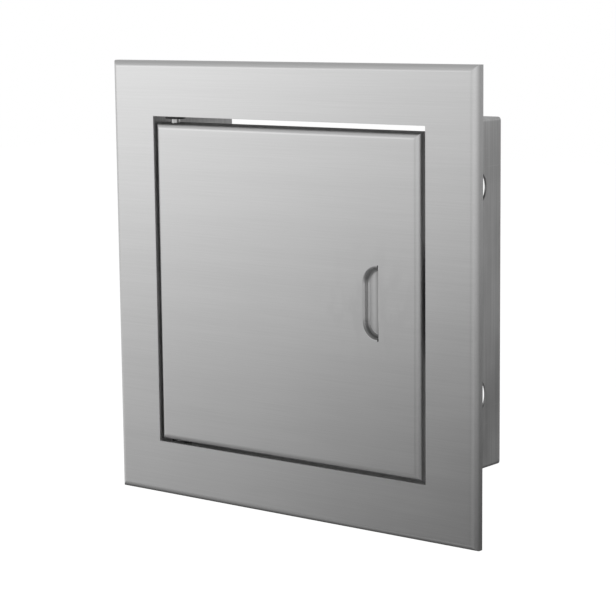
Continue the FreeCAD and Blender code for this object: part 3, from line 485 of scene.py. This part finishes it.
def door_wear_and_shade(place):
    """Smudges round the pull, painted shade in the lower end of its wall and under its lip, and the
    dull outside of the rim.
    """
    x, y, z = place.axes()
    near = 1 - (x - PULL_X).length(z).ramp(0.006, 0.034)
    smudge = near * place.stretched_noise((160, 160, 90), 3.0).ramp(0.42, 0.68)
    _, backward, _ = place.node("TexCoord", {}, {}, output="Normal").axes()
    in_front = 1 - backward.ramp(0.05, 0.2)
    beside = 1 - abs(x - PULL_X).ramp(0.0050, 0.0056)
    in_pull = in_front * beside * (1 - abs(z).ramp(PULL_REACH - 0.001, PULL_REACH))
    behind_face = y.ramp(FACE_Y + 0.000002, FACE_Y + 0.00005)
    before_floor = 1 - y.ramp(PULL_FLOOR_Y - 0.00006, PULL_FLOOR_Y - 0.000002)
    wall = in_pull * behind_face * before_floor
    # painted shade: the lower end of the pull's wall is darkened and dulled where shadow falls in the
    # recess
    painted_wall_shade = wall * (1 - z.ramp(-0.0120, -0.0060))
    # painted shade: the floor next to the lip is darkened as the lip's shadow on it
    near_lip = 1 - (PULL_EDGE - x).ramp(0.0017, 0.0036)
    painted_lip_shade = in_pull * near_lip * y.ramp(FACE_Y + 0.00001, FACE_Y + 0.0001)
    from_middle = abs(x - DOOR_MIDDLE).greater(abs(z - DOOR_MIDDLE))
    rim = from_middle.ramp(DOOR_HALF - 0.0003, DOOR_HALF - 0.00005)
    return [(smudge, 0.69, 0.05), (painted_lip_shade, 0.50, 0.10), (painted_wall_shade, 0.24, 0.20), (rim, 0.60, 0.12)]


dress(brushed_sheet("brushed door sheet", (1.7, 0.4, 0.9), door_wear_and_shade), "door_leaf")


# Hinge brackets: the guide of the upper pin and the lug of the lower one, stamped from plated steel
# and bent up into ears. Studs and nuts hold them to the back of the door.
dress(zinc, "pin_guide", "lower_hinge_lug")


# Lower pivot pin: turned from stainless bar with a shoulder that stands on the lower bush, and riveted
# into the lug. It carries the door's weight.
def turned_bar(name):
    """Drawn bar with fine turning rings and a few scuffs."""
    material, shader, place = finish(name, {"Metallic": 1.0})
    rings = place.stretched_noise((120, 120, 5200), 2.0)
    scuffs = place.stretched_noise((300, 300, 300), 3.0)
    place.feed(shader["Base Color"], scuffs.between(grey(0.62), grey(0.74)))
    place.feed(shader["Roughness"], 0.22 + 0.16 * scuffs)
    place.feed(shader["Normal"], rings.bump(0.000005, 0.5))
    return material


bar = turned_bar("turned stainless bar")
dress(bar, "lower_pivot_pin")


# Weld studs: threaded stainless studs, welded to the back of the door by their plain feet. Four carry
# the hinge brackets and two the strike plate.
STUD_FOOT_Y = -4.0
STUD_ROOT = 1.22
STUD_CREST = 1.5
STUD_PITCH = 0.5
STUD_CHAMFER = 0.35
THREAD_SINK = 0.04
HINGE_STUD_X = -55.5
HINGE_STUD_Z = (52.6, 62.6, -58.1, -65.1)
STRIKE_STUD_X = 63.0
STRIKE_STUD_Z = (23.0, -23.0)
TO_BACK = Matrix.Rotation(-math.pi / 2, 4, "X")


def weld_stud(name, length, turns):
    """Stud with its foot at the origin: plain foot, thread and chamfered end."""
    thread_top = length - STUD_CHAMFER
    outline = (
        (0.0, 0.0), (1.48, 0.0), (1.48, 0.20), (STUD_ROOT, 0.36), (STUD_ROOT, thread_top),
        (0.95, length), (0.0, length),
    )
    stud = turned_piece(name, outline)
    low = thread_top - turns * STUD_PITCH - CREST_LOW * STUD_PITCH
    root = STUD_ROOT - THREAD_SINK
    return join_up(stud, [thread(name + " thread", root, STUD_CREST, STUD_PITCH, turns, low)])


hinge_studs = set_out(
    weld_stud("hinge_stud_set", length=4.2, turns=6),
    [(HINGE_STUD_X, STUD_FOOT_Y, z) for z in HINGE_STUD_Z],
    TO_BACK,
    rolls=(0, 50, 110, 200),
)
hand_in(hinge_studs, bar, "hinge_studs", "door")
strike_studs = set_out(
    weld_stud("strike_stud_set", length=4.5, turns=7),
    [(STRIKE_STUD_X, STUD_FOOT_Y, z) for z in STRIKE_STUD_Z],
    TO_BACK,
    rolls=(20, 140),
)
hand_in(strike_studs, bar, "strike_studs", "door")


# Nuts: hexagon nuts of plated steel, with chamfered corners and countersunk bores. They are screwed
# onto the studs, and hold the hinge brackets and the strike plate to the back of the door.
NUT_FLATS = 5.5
NUT_THICK = 2.4
NUT_CHAMFER = 0.32
NUT_FACE = 2.62
NUT_OUTSIDE = 3.2
HINGE_NUT_Y = -1.6
STRIKE_NUT_Y = -1.3
NUT_HALF = NUT_THICK / 2
NUT_CORNER = NUT_FLATS / 2 / math.cos(math.pi / 6)
NUT_BARREL = (
    (0.0, -NUT_HALF), (NUT_FACE, -NUT_HALF), (NUT_OUTSIDE, -NUT_HALF + NUT_CHAMFER),
    (NUT_OUTSIDE, NUT_HALF - NUT_CHAMFER), (NUT_FACE, NUT_HALF), (0.0, NUT_HALF),
)
NUT_BORE = ((0.0, -1.5), (1.95, -1.5), (1.52, -0.95), (1.52, 0.95), (1.95, 1.5), (0.0, 1.5))


def hexagon_nut(name):
    """Nut about the origin, its bore along Z: a hexagon bar, faced off and bored."""
    bpy.ops.object.select_all(action="DESELECT")
    bpy.ops.mesh.primitive_cylinder_add(vertices=6, radius=NUT_CORNER * MM, depth=NUT_THICK * MM)
    nut = bpy.context.object
    nut.name = name
    bpy.ops.object.mode_set(mode="EDIT")
    bpy.ops.mesh.select_all(action="SELECT")
    bpy.ops.transform.rotate(value=math.pi / 6, orient_axis="Z", center_override=(0, 0, 0))
    bpy.ops.object.mode_set(mode="OBJECT")
    cut(nut, turned_piece("nut barrel", NUT_BARREL, steps=48), "INTERSECT")
    cut(nut, turned_piece("nut bore", NUT_BORE), "DIFFERENCE")
    return nut


hinge_nuts = set_out(
    hexagon_nut("hinge_nut_set"),
    [(HINGE_STUD_X, HINGE_NUT_Y, z) for z in HINGE_STUD_Z],
    TO_BACK,
    rolls=(4, 52, 23, 41),
)
hand_in(hinge_nuts, zinc, "hinge_nuts", "door")
strike_nuts = set_out(
    hexagon_nut("strike_nut_set"),
    [(STRIKE_STUD_X, STRIKE_NUT_Y, z) for z in STRIKE_STUD_Z],
    TO_BACK,
    rolls=(11, 37),
)
hand_in(strike_nuts, zinc, "strike_nuts", "door")


# Strike plate: a strip of plated steel, folded as a bridge that stands clear of the nuts and reaches
# the catch, which draws it. Its feet are held on two studs of the door.
dress(zinc, "strike_plate")


# Upper pivot pin: bent stainless bar with a tail to draw it down by. A plated washer and a spring clip
# in its groove stop the spring.
dress(bar, "upper_pivot_pin")
dress(zinc, "spring_washer", "pin_clip")


# Pin spring: a compression spring of dark hard-drawn wire round the upper pin. It stands between the
# guide's lower ear and the washer.
PIVOT = Vector((-66.3, 0.5, 0.0))
SPRING_LOW = 47.15
SPRING_HIGH = 66.85
SPRING_TURNS = 7
SPRING_RADIUS = 2.6
WIRE_RADIUS = 0.25


def spring_wire(name):
    """Dark drawn wire with fine lines along it and rubbed bright spots."""
    material, shader, place = finish(name, {"Metallic": 1.0})
    rub = place.stretched_noise((420, 420, 700), 3.0)
    lines = place.stretched_noise((2400, 2400, 300), 2.0)
    place.feed(shader["Base Color"], rub.ramp(0.35, 0.7).between(grey(0.24), grey(0.46)))
    place.feed(shader["Roughness"], 0.28 + 0.14 * rub)
    place.feed(shader["Normal"], lines.bump(0.000004, 0.5))
    return material


bpy.ops.object.select_all(action="DESELECT")
bpy.ops.mesh.primitive_circle_add(
    vertices=14,
    radius=WIRE_RADIUS * MM,
    location=(SPRING_RADIUS * MM, 0, 0),
    rotation=(math.pi / 2, 0, 0),
)
spring = bpy.context.object
spring.name = "coil_spring"
bpy.ops.object.transform_apply(location=True, rotation=True)
wind(spring, (SPRING_HIGH - SPRING_LOW) / SPRING_TURNS, SPRING_TURNS, steps=40)
spring.location = (PIVOT + Vector((0, 0, SPRING_LOW))) * MM
join_up(spring, [])
hand_in(spring, spring_wire("dark spring wire"), "pin_spring", "door")
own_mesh(spring)


# Studio: the panel hangs clear of a pale floor in a white sweep. Grey cards that only mirrors see
# stand round it as a tent, mostly paler upwards and to the left, and dark below. Their levels were
# fitted to the tones that the sheet has in the photograph.
FLOOR_SIZE = 12
FLOOR_Z = -0.5
FLOOR_LIFT = 0.50
WORLD_LIGHT = 0.6
LEFT, RIGHT = -1.4, 0.6
FRONT, BACK = -0.5, 1.4
LOW, TOP = -0.49, 0.6
FRONT_SPLIT = -1.0
LEFT_LEVEL = 0.68
CARD = 0.002
KEY_PLACE = Vector((-0.9, -1.1, 0.9))
KEY_SIZE = 0.8
KEY_ENERGY = 9.0


def bare_material(name):
    """Wire on the empty nodes of a new material, and the material."""
    material = bpy.data.materials.new(name)
    material.use_nodes = True
    material.node_tree.nodes.clear()
    return Wire(material.node_tree), material


def seen_as_background(wire):
    """One for the rays that see the background: straight, mirrored or through something clear."""
    names = ("Is Camera Ray", "Is Glossy Ray", "Is Transmission Ray")
    straight, mirrored, through = (wire.node("LightPath", {}, {}, output=name) for name in names)
    return straight.greater(mirrored).greater(through)


bpy.ops.object.select_all(action="DESELECT")
bpy.ops.mesh.primitive_plane_add(size=FLOOR_SIZE, location=(0, 0, FLOOR_Z))
floor = bpy.context.object
floor.name = "floor"
wire, pale = bare_material("pale floor")
lit = wire.node("BsdfDiffuse", {}, {"Color": grey(0.85)})
lifted = FLOOR_LIFT * seen_as_background(wire)
lift = wire.node("Emission", {}, {"Color": grey(1), "Strength": lifted})
wire.node("OutputMaterial", {}, {"Surface": wire.node("AddShader", {}, {0: lit, 1: lift})})
floor.data.materials.append(pale)


def card_places(wire):
    """X, Y and Z on a card."""
    return wire.node("TexCoord", {}, {}, output="Object").axes()


def front_level(wire):
    """Level of the front card: paler upwards and to both sides, and dimmer at the top."""
    x, _, z = card_places(wire)
    leftward = 1 - x.ramp(-0.58, -0.16)
    upward = z.ramp(-0.29, 0.17)
    rightward = x.ramp(0.05, 0.3).greater(x.ramp(-0.2, 0.0) * (1 - z.ramp(-0.25, -0.05)))
    pale = 0.02 + 0.44 * leftward + 0.12 * rightward + 0.81 * upward
    above = z.ramp(0.26, 0.42)
    return pale * (1 - above) + 0.55 * above


def right_level(wire):
    """Level of the right card: dark below, paler upwards and to the front, and dimmer at the back."""
    _, y, z = card_places(wire)
    in_front = 1 - y.ramp(-0.5, 0.3)
    side = (0.04 + 0.49 * z.ramp(-0.38, 0.2)) * (1 - 0.18 * y.ramp(0.2, 0.5))
    return side + 0.45 * in_front * z.ramp(-0.25, 0.17)


def back_level(wire):
    """Level of the back card: dim at the left, and paler to the right and upwards."""
    x, _, z = card_places(wire)
    return 0.34 + (0.25 + 0.55 * z.ramp(-0.35, 0.40)) * x.ramp(-0.75, 0.05)


def top_level(wire):
    """Level of the top card: paler in front, dimmer over the panel and behind it."""
    _, y, _ = card_places(wire)
    return 0.56 - 0.10 * y.ramp(-0.35, 0.10)


def low_level(wire):
    """Level of the low card: paler in front of the panel, most at the left, and dark behind it."""
    x, y, _ = card_places(wire)
    return 0.07 + 0.25 * (1 - y.ramp(-0.35, 0.15)) * (1 - 0.6 * x.ramp(-0.3, 0.05))


def flag(name, low, high, level):
    """Grey card between two corners that only mirrors see, of one level or a level over its places."""
    low, high = Vector(low), Vector(high)
    bpy.ops.object.select_all(action="DESELECT")
    bpy.ops.mesh.primitive_cube_add(size=1, location=(low + high) / 2)
    card = bpy.context.object
    card.name = name
    card.scale = high - low
    bpy.ops.object.transform_apply(location=True, rotation=True, scale=True)
    wire, material = bare_material(name)
    shade = level(wire) if callable(level) else grey(level)
    glow = wire.node("Emission", {}, {"Color": shade, "Strength": 1.0})
    wire.node("OutputMaterial", {}, {"Surface": glow})
    card.data.materials.append(material)
    card.visible_camera = False
    card.visible_diffuse = False
    card.visible_shadow = False


flag("front card", (FRONT_SPLIT, FRONT - CARD, LOW), (RIGHT, FRONT, TOP), front_level)
flag("front left card", (LEFT, FRONT - CARD, LOW), (FRONT_SPLIT, FRONT, TOP), LEFT_LEVEL)
flag("left card", (LEFT - CARD, FRONT, LOW), (LEFT, BACK, TOP), LEFT_LEVEL)
flag("right card", (RIGHT, FRONT, LOW), (RIGHT + CARD, BACK, TOP), right_level)
flag("back card", (LEFT, BACK, LOW), (RIGHT, BACK + CARD, TOP), back_level)
flag("top card", (LEFT, FRONT, TOP), (RIGHT, BACK, TOP + CARD), top_level)
flag("low card", (LEFT, FRONT, LOW - CARD), (RIGHT, BACK, LOW), low_level)

world = bpy.data.worlds.new("white sweep")
bpy.context.scene.world = world
world.use_nodes = True
world.node_tree.nodes.clear()
wire = Wire(world.node_tree)
lighting = wire.node("Background", {}, {"Color": grey(1), "Strength": WORLD_LIGHT})
white = wire.node("Background", {}, {"Color": grey(1), "Strength": 1.0})
sky = wire.node("MixShader", {}, {0: seen_as_background(wire), 1: lighting, 2: white})
wire.node("OutputWorld", {}, {"Surface": sky})

lamp = bpy.data.lights.new("key", "AREA")
lamp.size = KEY_SIZE
lamp.energy = KEY_ENERGY
key = bpy.data.objects.new("key", lamp)
bpy.context.scene.collection.objects.link(key)
key.location = KEY_PLACE
key.rotation_euler = (-KEY_PLACE).to_track_quat("-Z", "Y").to_euler()
key.visible_glossy = False


# Camera: stands to the right of the panel and a little above its middle, fitted to the corners of
# the frame and of its opening in the photograph.
CAMERA_PLACE = (0.5529, -0.6874, 0.1263)
YAW, PITCH, ROLL = (math.radians(angle) for angle in (38.34, 8.60, -0.60))
SENSOR_WIDTH = 36.0
FOCAL_LENGTH = 119.1
lens = bpy.data.cameras.new("camera")
lens.sensor_width = SENSOR_WIDTH
lens.lens = FOCAL_LENGTH
camera = bpy.data.objects.new("camera", lens)
bpy.context.scene.collection.objects.link(camera)
aim = (
    Matrix.Rotation(YAW, 4, "Z")
    @ Matrix.Rotation(math.pi / 2 - PITCH, 4, "X")
    @ Matrix.Rotation(ROLL, 4, "Z")
)
camera.matrix_world = Matrix.Translation(CAMERA_PLACE) @ aim
bpy.context.scene.camera = camera
bpy.context.scene.view_settings.view_transform = "Standard"
